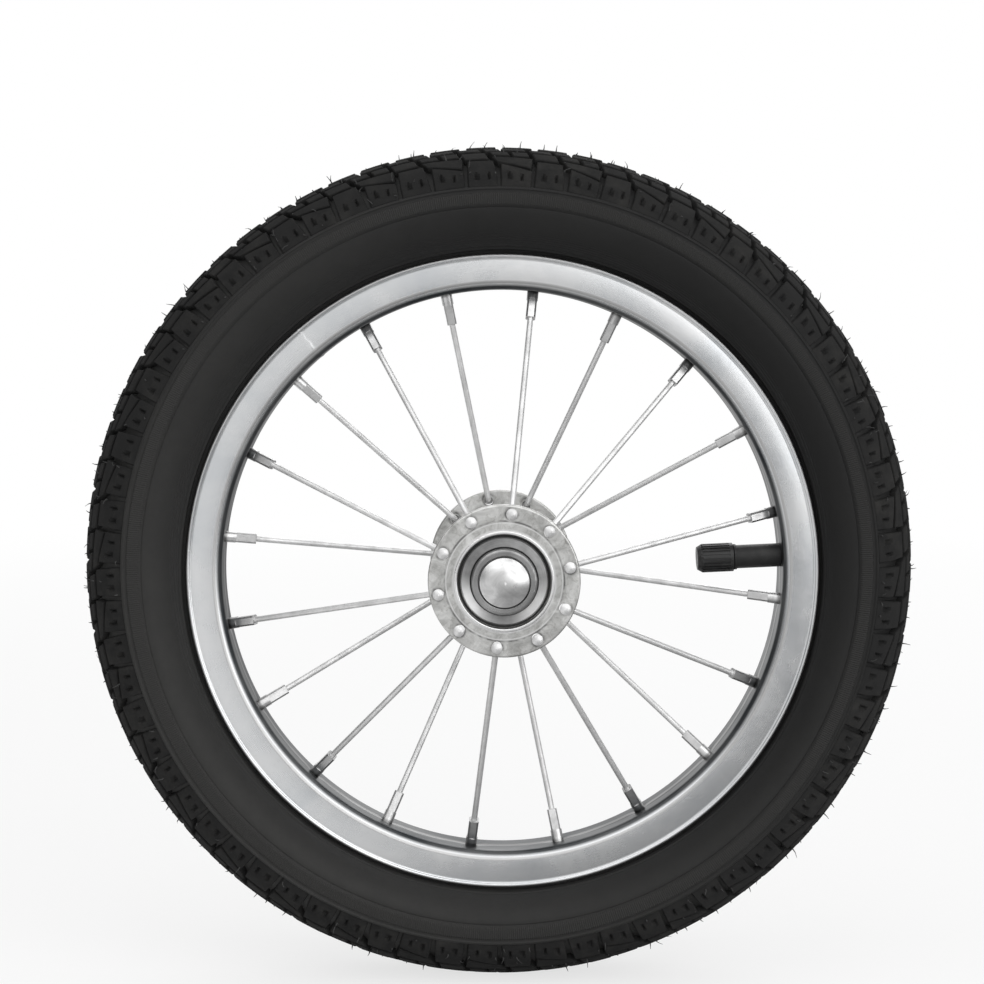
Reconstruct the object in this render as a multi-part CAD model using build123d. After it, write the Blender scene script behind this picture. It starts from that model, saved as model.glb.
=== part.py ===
from build123d import *
from math import asin, atan2, cos, degrees, hypot, radians, sin, sqrt
import os

# Trailer wheel, 12.5 inch, on its push-button axle.  Millimetres.
# The wheel turns about the Y axis.  -Y is outboard, where the release button is, and +Y is inboard,
# where the axle's free end goes into the trailer.  +Z is up.
# The origin is on the axle, where the plain stretch of its free end starts, just beyond the spacer.

# ---- Rim -----------------------------------------------------------------------------------------
RIM_PLANE_TO_ORIGIN = 29.0    # from the rim's middle plane to where the axle's free end starts
RIM_OUTER_R = 108.0
RIM_HALF_WIDTH = 9.5
RIM_DEPTH = 12.2              # from the outer edge to the spoke bed's hub side
RIM_SLOPE_HEIGHT = 1.9        # from the bed to the flat side face
RIM_BED_HALF_WIDTH = 7.4      # of the bed's flat middle
RIM_BED_BEND_R = 2.0          # bend at each side of the flat
RIM_WELL_HALF_WIDTH = 5.2     # on the tyre side
RIM_WALL = 1.2
RIM_SEAT_DEPTH = 6.5          # from the outer edge to the bead's seat
RIM_EDGE_R = 0.8              # rolled bead along each side face's outer edge
RIM_WALL_EDGE_R = 0.48        # rounding of the wall's end, under the bead
RIM_CREASE_R = 1.1            # bend between side face and slope

# ---- Tyre ----------------------------------------------------------------------------------------
TYRE_HEIGHT = 33.7            # from the rim's outer edge to the crown
TYRE_HALF_WIDTH = 23.0
TYRE_SIDE_R = 14.6            # radius of each sidewall's bulge
TYRE_FOOT_GAP = 1.0           # from the rim's outer edge to the foot of that bulge
TYRE_SHOULDER_DEG = 52.0      # where the sidewall's arc gives way to the crown's
TYRE_LOWER_FACETS = 3         # straight stretches in the section, from a foot to the widest line
TREAD_PITCHES = 72            # shoulder blocks on each side
TREAD_GAP = 0.12              # between two blocks, as a share of a pitch
TREAD_START_DEG = 17.3        # up the sidewall's arc, from the widest line to the blocks
TREAD_DEPTH = 2.3
TREAD_GROOVE = 0.062          # width round the crown, as a share of its half
TREAD_MIDDLE_GROOVE = 0.545   # place of the middle groove, from the shoulder to the crown's middle
TYRE_TREAD = 6.5              # thickness at the crown
TYRE_BEAD = 2.6               # thickness where it sits in the rim
TYRE_CLEARANCE = 0.1          # between bead and rim

# ---- Hub shell -----------------------------------------------------------------------------------
FLANGE_R = 25.0
FLANGE_THICKNESS = 3.0
FLANGE_OUT = 39.4             # outboard flange's outer face, from the rim's middle plane
FLANGE_IN = 23.9              # inboard flange's outer face, from the rim's middle plane
FLANGE_STEP_R = 19.4          # a shallow raised disc inside the ring of spoke heads
FLANGE_STEP = 0.4
FLANGE_EDGE_R = 0.6
BARREL_R = 17.0
BARREL_FILLET_R = 2.5
BARREL_BORE_R = 11.8          # between the two bearings
LIP_GAP = 1.0                 # radial, round the bearing
LIP_WALL = 1.1
LIP_HEIGHT = 1.0              # above the raised disc
LIP_BORE_DEPTH = 3.2
LIP_EDGE_R = 0.4

# ---- Bearings ------------------------------------------------------------------------------------
BEARING_R = 14.4
BEARING_WIDTH = 8.0
BEARING_PROUD = 0.3           # outer face beyond the flange's outer face
BEARING_INNER_R = 8.2         # inner ring's outside
BEARING_SHIELD_R = 11.3       # the shields reach from here to the inner ring
BEARING_SHIELD_RECESS = 0.5
BEARING_CHAMFER = 0.4
BEARING_RUNNING_GAP = 0.05    # radial, between the two rings
BEARING_SEAT_GAP = 0.02       # radial, ring to hub and ring to axle

# ---- Axle ----------------------------------------------------------------------------------------
AXLE_R = 6.0
AXLE_FREE_LENGTH = 50.0       # beyond the origin
AXLE_CHAMFER = 1.0
AXLE_RELIEF_LENGTH = 1.5      # shallow groove between the bearings' stretch and the free end
AXLE_RELIEF_DEPTH = 0.4
HEAD_R = 10.8
HEAD_HEIGHT = 3.4
HEAD_POCKET_R = 8.5
HEAD_POCKET_DEPTH = 2.6
HEAD_EDGE_R = 0.9
HEAD_INNER_EDGE_R = 0.4
SPACER_R = 9.5
SPACER_CHAMFER = 0.5
SPACER_STAND_BACK = 0.5       # its inboard face from the origin, over the axle's groove
PLUNGER_R = 2.9
PLUNGER_GAP = 0.05            # radial, plunger to its bore in the axle
PLUNGER_LENGTH = 14.0
BUTTON_R = 8.07
BUTTON_FLOAT = 0.3            # above the pocket's floor
BUTTON_SIDE = 3.1             # straight side below the dome
BUTTON_DOME = 2.6
BALL_R = 2.0
BALL_GAP = 0.04
BALL_PROUD = 0.15             # beyond the axle's surface, drawn in
BALL_FROM_END = 7.0

# ---- Spokes and nipples --------------------------------------------------------------------------
SPOKES_PER_SIDE = 10
SPOKE_R = 1.0
SPOKE_CIRCLE_R = 22.0         # where the heads sit
SPOKE_ELBOW_R = 2.0
SPOKE_ELBOW_CLEARANCE = 0.5   # between a spoke and the flange that it leaves
SPOKE_HEAD_R = 1.85
SPOKE_HEAD_RIM = 0.45         # straight edge below the head's dome
SPOKE_HEAD_DOME = 0.75
SPOKE_HOLE_R = 1.6
SPOKE_HOLE_CLEARANCE = 0.05   # between a spoke and the hole's outer side, where tension holds it
OUTBOARD_START_DEG = 6.4      # first spoke of each side, clockwise from the top, seen from outboard
INBOARD_START_DEG = 24.4
NIPPLE_R = 1.95
NIPPLE_LENGTH = 11.0          # hub side of the bed
NIPPLE_FLATS = 3.3            # across the wrench flats
NIPPLE_FLAT_LENGTH = 7.0
NIPPLE_HEAD_R = 2.6
NIPPLE_HOLE_CLEARANCE = 0.25  # radial, in the rim
NIPPLE_HEAD_LIFT = 2.8        # head's centre beyond the bed, along the nipple
NIPPLE_BORE_GAP = 0.05
SPOKE_IN_NIPPLE = 9.0

# ---- Valve ---------------------------------------------------------------------------------------
VALVE_DEG = 87.4
VALVE_R = 4.0
VALVE_LENGTH = 16.2           # hub side of the bed, as far as the cap
VALVE_HOLE_CLEARANCE = 0.1
VALVE_BASE_R = 4.9
VALVE_BASE_HEIGHT = 1.5
VALVE_COLLAR = 0.35           # how far the collar under the cap stands out
VALVE_COLLAR_LENGTH = 1.1
VALVE_SEAT_GAP = 0.05
CAP_R = 4.9
CAP_LENGTH = 12.3
CAP_NOSE_R = 3.9
CAP_NOSE = 1.8
CAP_RIBS = 24
CAP_RIB_DEPTH = 0.35
CAP_RIB_WIDTH = 0.7
CAP_RIB_MARGIN = 1.2          # plain band at the open end of the cap

RIM_Y = -RIM_PLANE_TO_ORIGIN
RIM_BED_R = RIM_OUTER_R - RIM_DEPTH
RIM_SEAT_R = RIM_OUTER_R - RIM_SEAT_DEPTH
RIM_FACE_INNER_R = RIM_BED_R + RIM_SLOPE_HEIGHT
TYRE_OUTER_R = RIM_OUTER_R + TYRE_HEIGHT
TYRE_SIDE_CENTRE = (TYRE_HALF_WIDTH - TYRE_SIDE_R, RIM_OUTER_R + TYRE_FOOT_GAP + TYRE_SIDE_R)
LIP_BORE_R = BEARING_R + LIP_GAP
LIP_R = LIP_BORE_R + LIP_WALL
FLANGE_OUT_Y = RIM_Y - FLANGE_OUT
FLANGE_IN_Y = RIM_Y + FLANGE_IN
BEARING_OUT_Y = FLANGE_OUT_Y - BEARING_PROUD
BEARING_IN_Y = FLANGE_IN_Y + BEARING_PROUD
HEAD_TOP_Y = BEARING_OUT_Y - HEAD_HEIGHT
POCKET_FLOOR_Y = HEAD_TOP_Y + HEAD_POCKET_DEPTH
SPOKE_STEP_DEG = 360.0 / SPOKES_PER_SIDE
TREAD_PITCH_DEG = 360.0 / TREAD_PITCHES


def section(*lines):
    """A closed outline of (y, distance from the axle), as a face that holds the axle."""
    edges = [edge for line in lines for edge in line.edges()]
    return Plane.YZ * make_face(edges)


def turned(*lines):
    """The solid that a closed outline makes when it turns about the axle."""
    return revolve(section(*lines), axis=Axis.Y)


def outline(points, y=0.0, way=1):
    """A closed polygon of (distance along the axle, distance from it), from y, towards way."""
    return Polyline(*[(y + way * along, out) for along, out in points], close=True)


def ring(inner_r, outer_r, low_y, high_y):
    """A plain ring about the axle."""
    return turned(outline([(low_y, inner_r), (low_y, outer_r), (high_y, outer_r), (high_y, inner_r)]))


def at_angle(shape, angle):
    """Turns a shape made at the top to its angle, clockwise seen from outboard."""
    return Rot(0, angle, 0) * shape


def dome_middle(radius, height):
    """A point halfway out on a spherical dome: its distance from the dome's axis, and below its top."""
    sphere_r = (radius ** 2 + height ** 2) / (2 * height)
    out = radius / 2
    return out, sphere_r - sqrt(sphere_r ** 2 - out ** 2)


def radial(y, out):
    """A frame on the top of the wheel whose z axis points away from the axle."""
    return Pos(0, y, out)


# ---- Tyre ----------------------------------------------------------------------------------------
def mirrored(points):
    """The same points across the rim's middle plane, in the order that carries an outline on."""
    return [(-along, out) for along, out in reversed(points)]


def arc_points(centre, radius, start_deg, end_deg, facets):
    """Points on an arc about centre, both ends among them.  0 degrees points along the axle."""
    turns = [radians(start_deg + (end_deg - start_deg) * number / facets) for number in range(facets + 1)]
    return [(centre[0] + radius * cos(turn), centre[1] + radius * sin(turn)) for turn in turns]


def crown_point(share, depth=0.0):
    """A point of the crown's section, from the shoulder at 0 to the middle at 1, below its surface."""
    half_chord, shoulder_r = arc_points(TYRE_SIDE_CENTRE, TYRE_SIDE_R, TYRE_SHOULDER_DEG, 90.0, 1)[0]
    rise = TYRE_OUTER_R - shoulder_r
    radius = (half_chord ** 2 + rise ** 2) / (2 * rise)
    spread = degrees(asin(half_chord / radius))
    centre = (0.0, TYRE_OUTER_R - radius)
    return arc_points(centre, radius - depth, 90.0 - spread * (1.0 - share), 90.0, 1)[0]


def tyre_side():
    """Half the section below the tread, from the slot round the bead and up to the shoulder blocks."""
    bead_y = RIM_HALF_WIDTH - RIM_WALL - TYRE_CLEARANCE
    toe_y = bead_y - TYRE_BEAD
    seat_r = (RIM_SEAT_R + TYRE_CLEARANCE) / cos(radians(TREAD_PITCH_DEG / 2))
    side = arc_points(TYRE_SIDE_CENTRE, TYRE_SIDE_R, -90.0, 0.0, TYRE_LOWER_FACETS)
    start = arc_points(TYRE_SIDE_CENTRE, TYRE_SIDE_R, TREAD_START_DEG, 90.0, 1)[0]
    bead = [(toe_y, TYRE_OUTER_R - TYRE_TREAD), (toe_y, seat_r), (bead_y, seat_r), (bead_y, side[0][1])]
    return bead + side[1:] + [start]


def tyre_ribs():
    """Half the section of the two ribs beside the crown's middle, with a groove before each."""
    return [
        crown_point(TREAD_GROOVE, TREAD_DEPTH),
        crown_point(TREAD_GROOVE),
        crown_point(TREAD_MIDDLE_GROOVE - TREAD_GROOVE / 2),
        crown_point(TREAD_MIDDLE_GROOVE, TREAD_DEPTH),
        crown_point(TREAD_MIDDLE_GROOVE + TREAD_GROOVE / 2),
        crown_point(1.0),
    ]


def half_pitch():
    """The flat faces of one pitch of half the tyre: corners as a point and its share of the pitch."""
    side, ribs = tyre_side(), tyre_ribs()
    top, floor = crown_point(0.0), crown_point(0.0, TREAD_DEPTH)
    strips = list(zip(side[:-2], side[1:-1])) + list(zip(ribs[:-1], ribs[1:]))
    faces = [[(low, 0), (low, 1), (high, 1), (high, 0)] for low, high in strips]
    widest, start = side[-2:]
    gap = TREAD_GAP
    return faces + [
        [(widest, 0), (widest, 1), (start, 1), (start, gap), (start, 0)],
        [(start, 0), (start, gap), (floor, gap), (floor, 0)],
        [(start, gap), (start, 1), (top, 1), (top, gap)],
        [(start, gap), (top, gap), (floor, gap)],
        [(start, 1), (floor, 1), (top, 1)],
        [(top, gap), (top, 1), (floor, 1), (floor, gap)],
        [(floor, 0), (floor, gap), (floor, 1), (ribs[0], 1), (ribs[0], 0)],
    ]


def pitch_point(point, share, side):
    """A point of the section on its straight way across the first pitch, on either half."""
    along, out = point
    turn = radians(TREAD_PITCH_DEG)
    return (out * share * sin(turn), side * along, out * (1 - share + share * cos(turn)))


def tyre():
    """The tyre in flat facets, one to a pitch, with shoulder blocks, ribs and a slot up to the tread."""
    halves = [(corners, side) for corners in half_pitch() for side in (1, -1)]
    polygons = [[pitch_point(point, share, side) for point, share in corners] for corners, side in halves]
    slot_end = tyre_side()[0]
    polygons.append([pitch_point(slot_end, *corner) for corner in ((0, 1), (1, 1), (1, -1), (0, -1))])
    pitch = [Face(Wire.make_polygon(polygon)) for polygon in polygons]
    turns = [TREAD_PITCH_DEG * (number - TREAD_GAP / 2) for number in range(TREAD_PITCHES)]
    skin = Shell([at_angle(face, turn) for turn in turns for face in pitch])
    return Pos(0, RIM_Y, 0) * Solid(skin)


# ---- Spokes and nipples --------------------------------------------------------------------------
def spoke_line(flange_y, way):
    """A spoke's corner at its elbow, the middle of its nipple hole, and the unit vector between them."""
    inner_face = flange_y + way * FLANGE_THICKNESS
    elbow = (inner_face + way * (SPOKE_ELBOW_CLEARANCE + SPOKE_R), SPOKE_CIRCLE_R)
    hole = (RIM_Y, RIM_BED_R + RIM_WALL / 2)
    along = (hole[0] - elbow[0], hole[1] - elbow[1])
    length = hypot(*along)
    return elbow, hole, (along[0] / length, along[1] / length)


def further(point, direction, distance):
    """The point that lies a distance along a direction."""
    return (point[0] + direction[0] * distance, point[1] + direction[1] * distance)


def nipple_frame(flange_y, way):
    """A frame at the middle of the nipple's hole, z along the spoke, away from the hub."""
    _, hole, direction = spoke_line(flange_y, way)
    tilt = degrees(atan2(direction[0], direction[1]))
    return Pos(0, *hole) * Rot(-tilt, 0, 0)


def spoke(flange_y, way):
    elbow, hole, direction = spoke_line(flange_y, way)
    end = further(hole, direction, SPOKE_IN_NIPPLE - NIPPLE_LENGTH)
    wire = FilletPolyline((flange_y, SPOKE_CIRCLE_R), elbow, end, radius=SPOKE_ELBOW_R)
    profile = Plane((0, flange_y, SPOKE_CIRCLE_R), z_dir=(0, way, 0)) * Circle(SPOKE_R)
    body = sweep(profile, path=Plane.YZ * wire)
    edge_y = -SPOKE_HEAD_RIM
    top_y = edge_y - SPOKE_HEAD_DOME
    middle_out, middle_drop = dome_middle(SPOKE_HEAD_R, SPOKE_HEAD_DOME)
    half = [
        Line((0, 0), (SPOKE_HEAD_R, 0)),
        Line((SPOKE_HEAD_R, 0), (SPOKE_HEAD_R, edge_y)),
        ThreePointArc((SPOKE_HEAD_R, edge_y), (middle_out, top_y + middle_drop), (0, top_y)),
        Line((0, top_y), (0, 0)),
    ]
    head = revolve(make_face(half), axis=Axis.Y)
    head = Pos(0, flange_y, SPOKE_CIRCLE_R) * (head if way > 0 else Rot(180, 0, 0) * head)
    return body + head


def nipple(flange_y, way):
    shank = extrude(Circle(NIPPLE_R), NIPPLE_LENGTH)
    corners = Rectangle(4 * NIPPLE_R, 4 * NIPPLE_R) - Rectangle(NIPPLE_FLATS, NIPPLE_FLATS)
    shank -= extrude(corners, NIPPLE_FLAT_LENGTH)
    neck_length = RIM_WALL / 2 + NIPPLE_HEAD_LIFT
    neck = Pos(0, 0, NIPPLE_LENGTH) * extrude(Circle(NIPPLE_R), neck_length)
    head = Pos(0, 0, NIPPLE_LENGTH + neck_length) * Sphere(NIPPLE_HEAD_R)
    bore = extrude(Circle(SPOKE_R + NIPPLE_BORE_GAP), SPOKE_IN_NIPPLE + 2 * NIPPLE_BORE_GAP)
    return nipple_frame(flange_y, way) * Pos(0, 0, -NIPPLE_LENGTH) * (shank + neck + head - bore)


def spoke_angles(start):
    return [start + SPOKE_STEP_DEG * number for number in range(SPOKES_PER_SIDE)]


SIDES = [
    ("outboard", FLANGE_OUT_Y, 1, spoke_angles(OUTBOARD_START_DEG)),
    ("inboard", FLANGE_IN_Y, -1, spoke_angles(INBOARD_START_DEG)),
]


# ---- Rim -----------------------------------------------------------------------------------------
def rim():
    inner_face = RIM_HALF_WIDTH - RIM_WALL
    right = [
        (RIM_BED_HALF_WIDTH, RIM_BED_R),
        (RIM_HALF_WIDTH, RIM_FACE_INNER_R),
        (RIM_HALF_WIDTH, RIM_OUTER_R),
        (inner_face, RIM_OUTER_R),
        (inner_face, RIM_SEAT_R),
        (RIM_WELL_HALF_WIDTH, RIM_SEAT_R),
        (RIM_WELL_HALF_WIDTH, RIM_BED_R + RIM_WALL),
    ]
    radii = [RIM_BED_BEND_R, RIM_CREASE_R, RIM_WALL_EDGE_R, RIM_WALL_EDGE_R, 0, 0, 0]
    band = turned(FilletPolyline(*right, *mirrored(right), radius=radii + radii[::-1], close=True))
    rolled = [
        turned(Pos(way * (inner_face + RIM_EDGE_R), RIM_OUTER_R - RIM_EDGE_R) * Circle(RIM_EDGE_R))
        for way in (-1, 1)
    ]
    band = Pos(0, RIM_Y, 0) * (band + rolled)
    hole = extrude(Circle(NIPPLE_R + NIPPLE_HOLE_CLEARANCE), RIM_DEPTH, both=True)
    for _, flange_y, way, angles in SIDES:
        for angle in angles:
            band -= at_angle(nipple_frame(flange_y, way) * hole, angle)
    valve_hole = extrude(Circle(VALVE_R + VALVE_HOLE_CLEARANCE), RIM_DEPTH, both=True)
    return band - at_angle(radial(RIM_Y, RIM_BED_R) * valve_hole, VALVE_DEG)


# ---- Hub shell -----------------------------------------------------------------------------------
def flange_side(flange_y, way):
    """Outline of one end of the hub, from the barrel out over the flange and into the bearing's seat."""
    raised = -FLANGE_STEP
    lip = raised - LIP_HEIGHT
    points = [
        (FLANGE_THICKNESS, BARREL_R),
        (FLANGE_THICKNESS, FLANGE_R),
        (0, FLANGE_R),
        (0, FLANGE_STEP_R),
        (raised, FLANGE_STEP_R),
        (raised, LIP_R),
        (lip, LIP_R),
        (lip, LIP_BORE_R),
        (lip + LIP_BORE_DEPTH, LIP_BORE_R),
        (lip + LIP_BORE_DEPTH, BEARING_R + BEARING_SEAT_GAP),
        (BEARING_WIDTH - BEARING_PROUD, BEARING_R + BEARING_SEAT_GAP),
        (BEARING_WIDTH - BEARING_PROUD, BARREL_BORE_R),
    ]
    radii = [BARREL_FILLET_R, FLANGE_EDGE_R, FLANGE_EDGE_R, 0, 0, 0, LIP_EDGE_R, LIP_EDGE_R, 0, 0, 0, 0]
    return [(flange_y + way * along, out) for along, out in points], radii


def hub_shell():
    outboard, radii = flange_side(FLANGE_OUT_Y, 1)
    inboard, _ = flange_side(FLANGE_IN_Y, -1)
    shell = turned(
        FilletPolyline(*outboard, *reversed(inboard), radius=radii + radii[::-1], close=True)
    )
    hole_circle_r = SPOKE_CIRCLE_R - (SPOKE_HOLE_R - SPOKE_R - SPOKE_HOLE_CLEARANCE)
    for _, flange_y, way, angles in SIDES:
        frame = Plane((0, flange_y - way * FLANGE_THICKNESS, hole_circle_r), z_dir=(0, way, 0))
        hole = extrude(frame * Circle(SPOKE_HOLE_R), 3 * FLANGE_THICKNESS)
        for angle in angles:
            shell -= at_angle(hole, angle)
    return shell


# ---- Bearings ------------------------------------------------------------------------------------
def bearing_outer(face_y, way):
    """Outer ring and shields.  face_y is the bearing's outer face, and way points into the hub."""
    bore_r = BEARING_INNER_R + BEARING_RUNNING_GAP
    chamfered = [
        (0, BEARING_R - BEARING_CHAMFER),
        (BEARING_CHAMFER, BEARING_R),
        (BEARING_WIDTH - BEARING_CHAMFER, BEARING_R),
        (BEARING_WIDTH, BEARING_R - BEARING_CHAMFER),
    ]
    shields = [
        (BEARING_WIDTH, BEARING_SHIELD_R),
        (BEARING_WIDTH - BEARING_SHIELD_RECESS, BEARING_SHIELD_R),
        (BEARING_WIDTH - BEARING_SHIELD_RECESS, bore_r),
        (BEARING_SHIELD_RECESS, bore_r),
        (BEARING_SHIELD_RECESS, BEARING_SHIELD_R),
        (0, BEARING_SHIELD_R),
    ]
    return turned(outline(chamfered + shields, face_y, way))


def bearing_inner(face_y, way):
    far_y = face_y + way * BEARING_WIDTH
    return ring(AXLE_R + BEARING_SEAT_GAP, BEARING_INNER_R, min(face_y, far_y), max(face_y, far_y))


# ---- Axle ----------------------------------------------------------------------------------------
def ball_place(side):
    out = AXLE_R + BALL_PROUD - BALL_R
    return Pos(side * out, AXLE_FREE_LENGTH - BALL_FROM_END, 0)


def axle():
    end_y = AXLE_FREE_LENGTH
    bore_r = PLUNGER_R + PLUNGER_GAP
    bore_end_y = POCKET_FLOOR_Y + BUTTON_FLOAT + PLUNGER_LENGTH + PLUNGER_GAP
    points = [
        (bore_end_y, 0),
        (bore_end_y, bore_r),
        (POCKET_FLOOR_Y, bore_r),
        (POCKET_FLOOR_Y, HEAD_POCKET_R),
        (HEAD_TOP_Y, HEAD_POCKET_R),
        (HEAD_TOP_Y, HEAD_R),
        (BEARING_OUT_Y, HEAD_R),
        (BEARING_OUT_Y, AXLE_R),
        (-AXLE_RELIEF_LENGTH, AXLE_R),
        (-AXLE_RELIEF_LENGTH, AXLE_R - AXLE_RELIEF_DEPTH),
        (0, AXLE_R - AXLE_RELIEF_DEPTH),
        (0, AXLE_R),
        (end_y - AXLE_CHAMFER, AXLE_R),
        (end_y, AXLE_R - AXLE_CHAMFER),
        (end_y, 0),
    ]
    rounded = {(HEAD_TOP_Y, HEAD_POCKET_R): HEAD_INNER_EDGE_R, (HEAD_TOP_Y, HEAD_R): HEAD_EDGE_R}
    radii = [rounded.get(point, 0) for point in points]
    pin = turned(FilletPolyline(*points, radius=radii, close=True))
    for side in (-1, 1):
        pocket = Cylinder(BALL_R + BALL_GAP, 2 * BALL_R, rotation=(0, 90, 0))
        floor = Sphere(BALL_R + BALL_GAP)
        pin -= ball_place(side) * (Pos(side * BALL_R, 0, 0) * pocket + floor)
    return pin


def release_button():
    low_y = POCKET_FLOOR_Y - BUTTON_FLOAT
    side_y = low_y - BUTTON_SIDE
    top_y = side_y - BUTTON_DOME
    middle_out, middle_drop = dome_middle(BUTTON_R, BUTTON_DOME)
    plunger_y = low_y + PLUNGER_LENGTH
    return turned(
        Line((top_y, 0), (plunger_y, 0)),
        Line((plunger_y, 0), (plunger_y, PLUNGER_R)),
        Line((plunger_y, PLUNGER_R), (low_y, PLUNGER_R)),
        Line((low_y, PLUNGER_R), (low_y, BUTTON_R)),
        Line((low_y, BUTTON_R), (side_y, BUTTON_R)),
        ThreePointArc((side_y, BUTTON_R), (top_y + middle_drop, middle_out), (top_y, 0)),
    )


def retaining_balls():
    return Compound([ball_place(side) * Sphere(BALL_R) for side in (-1, 1)])


def spacer():
    inner_r = AXLE_R + BEARING_SEAT_GAP
    face_y = -SPACER_STAND_BACK
    points = [
        (BEARING_IN_Y, inner_r),
        (BEARING_IN_Y, BEARING_INNER_R),
        (BEARING_IN_Y + BEARING_SHIELD_RECESS, SPACER_R),
        (face_y - SPACER_CHAMFER, SPACER_R),
        (face_y, SPACER_R - SPACER_CHAMFER),
        (face_y, inner_r),
    ]
    return turned(outline(points))


# ---- Valve ---------------------------------------------------------------------------------------
def valve_stem():
    foot = RIM_WALL + VALVE_SEAT_GAP
    points = [
        (0, -VALVE_LENGTH),
        (VALVE_R - VALVE_COLLAR, -VALVE_LENGTH),
        (VALVE_R + VALVE_COLLAR, -VALVE_LENGTH + VALVE_COLLAR),
        (VALVE_R + VALVE_COLLAR, -VALVE_LENGTH + VALVE_COLLAR_LENGTH),
        (VALVE_R, -VALVE_LENGTH + VALVE_COLLAR_LENGTH),
        (VALVE_R, foot),
        (VALVE_BASE_R, foot),
        (VALVE_BASE_R, foot + VALVE_BASE_HEIGHT),
        (0, foot + VALVE_BASE_HEIGHT),
    ]
    stem = revolve(Plane.XZ * make_face(Polyline(*points, close=True)), axis=Axis.Z)
    return at_angle(radial(RIM_Y, RIM_BED_R) * stem, VALVE_DEG)


def valve_cap():
    top = CAP_LENGTH
    points = [
        (0, 0),
        (CAP_R, 0),
        (CAP_R, top - CAP_NOSE),
        (CAP_NOSE_R, top),
        (0, top),
    ]
    cap = revolve(Plane.XZ * make_face(Polyline(*points, close=True)), axis=Axis.Z)
    groove = Pos(CAP_R, 0, CAP_RIB_MARGIN) * extrude(
        Rectangle(2 * CAP_RIB_DEPTH, CAP_RIB_WIDTH), CAP_LENGTH
    )
    for number in range(CAP_RIBS):
        cap -= Rot(0, 0, 360.0 * number / CAP_RIBS) * groove
    open_end = RIM_BED_R - VALVE_LENGTH - VALVE_SEAT_GAP
    return at_angle(radial(RIM_Y, open_end) * Rot(180, 0, 0) * cap, VALVE_DEG)


# ---- Files ---------------------------------------------------------------------------------------
def build():
    pieces = {
        "tyre": tyre(),
        "rim": rim(),
        "hub_shell": hub_shell(),
        "bearing_outer_outboard": bearing_outer(BEARING_OUT_Y, 1),
        "bearing_outer_inboard": bearing_outer(BEARING_IN_Y, -1),
        "bearing_inner_outboard": bearing_inner(BEARING_OUT_Y, 1),
        "bearing_inner_inboard": bearing_inner(BEARING_IN_Y, -1),
        "axle": axle(),
        "axle_spacer": spacer(),
        "release_button": release_button(),
        "retaining_balls": retaining_balls(),
        "valve_stem": valve_stem(),
        "valve_cap": valve_cap(),
    }
    for side, flange_y, way, angles in SIDES:
        one_spoke = spoke(flange_y, way)
        one_nipple = nipple(flange_y, way)
        for number, angle in enumerate(angles, start=1):
            pieces[f"spoke_{side}_{number:02d}"] = at_angle(one_spoke, angle)
            pieces[f"nipple_{side}_{number:02d}"] = at_angle(one_nipple, angle)
    return pieces


os.makedirs("parts", exist_ok=True)
for name, piece in build().items():
    export_step(piece, f"parts/{name}.step")
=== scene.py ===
import math
import random

import bmesh
import bpy
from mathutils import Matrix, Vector

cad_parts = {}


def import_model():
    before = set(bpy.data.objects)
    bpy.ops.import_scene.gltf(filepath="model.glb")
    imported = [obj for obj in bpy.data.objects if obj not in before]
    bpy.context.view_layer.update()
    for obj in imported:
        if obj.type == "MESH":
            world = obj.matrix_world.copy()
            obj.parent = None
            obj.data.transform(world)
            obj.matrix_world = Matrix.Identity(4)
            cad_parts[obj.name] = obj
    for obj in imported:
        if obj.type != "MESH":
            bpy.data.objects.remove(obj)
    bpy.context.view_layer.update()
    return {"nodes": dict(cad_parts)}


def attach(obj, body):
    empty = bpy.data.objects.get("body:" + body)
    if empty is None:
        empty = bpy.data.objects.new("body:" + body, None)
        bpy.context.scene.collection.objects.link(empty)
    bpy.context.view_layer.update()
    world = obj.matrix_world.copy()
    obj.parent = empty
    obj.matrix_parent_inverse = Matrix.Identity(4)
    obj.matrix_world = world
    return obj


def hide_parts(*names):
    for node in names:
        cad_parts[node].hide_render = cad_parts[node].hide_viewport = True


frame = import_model()
nodes = frame["nodes"]

# A 12.5 inch trailer wheel on its push-button axle.
# The wheel turns about the Y axis, -Y is outboard, and +Z is up.  Angles are degrees clockwise from
# the top, seen from outboard.  Shapes are worked out in millimetres and become metres in new_piece.
# Materials work in metres.  Distances are from the axle, and pairs of them are from..to.

MM = 0.001
RIM_Y = -29.0                 # the rim's middle plane

# ---- Tyre ----------------------------------------------------------------------------------------
TYRE_OUTER_R = 141.7
TYRE_HALF_WIDTH = 23.0
TYRE_SIDE_R = 14.6            # radius of each sidewall's bulge
TYRE_SIDE_HEIGHT = 123.6      # distance of the widest line from the axle
TYRE_SHOULDER_DEG = 52.0      # where the sidewall's arc gives way to the crown's
BEAD_OUTER_Y = 8.2            # the bead's faces in the rim, from the middle plane
BEAD_INNER_Y = 5.6
BEAD_BASE_R = 101.6
BEAD_TOP_RISE = 1.0           # of the bead's inner face over the foot of the sidewall's bulge
BEAD_DEPTH = 1.5              # of the bead's outer face below the rim's edge
TYRE_WALL = 3.0
CARCASS_SEGMENTS = 360
CARCASS_LINING_STEPS = 8
CARCASS_SHARP_DEG = 60.0

SHIFT_X = -1.2                # the tyre sits off-centre on the rim, by this much at the tread
SHIFT_Z = 3.1
SHIFT_FROM_R = 106.0          # the shift grows from here
SHIFT_FULL_R = 122.0

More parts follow.
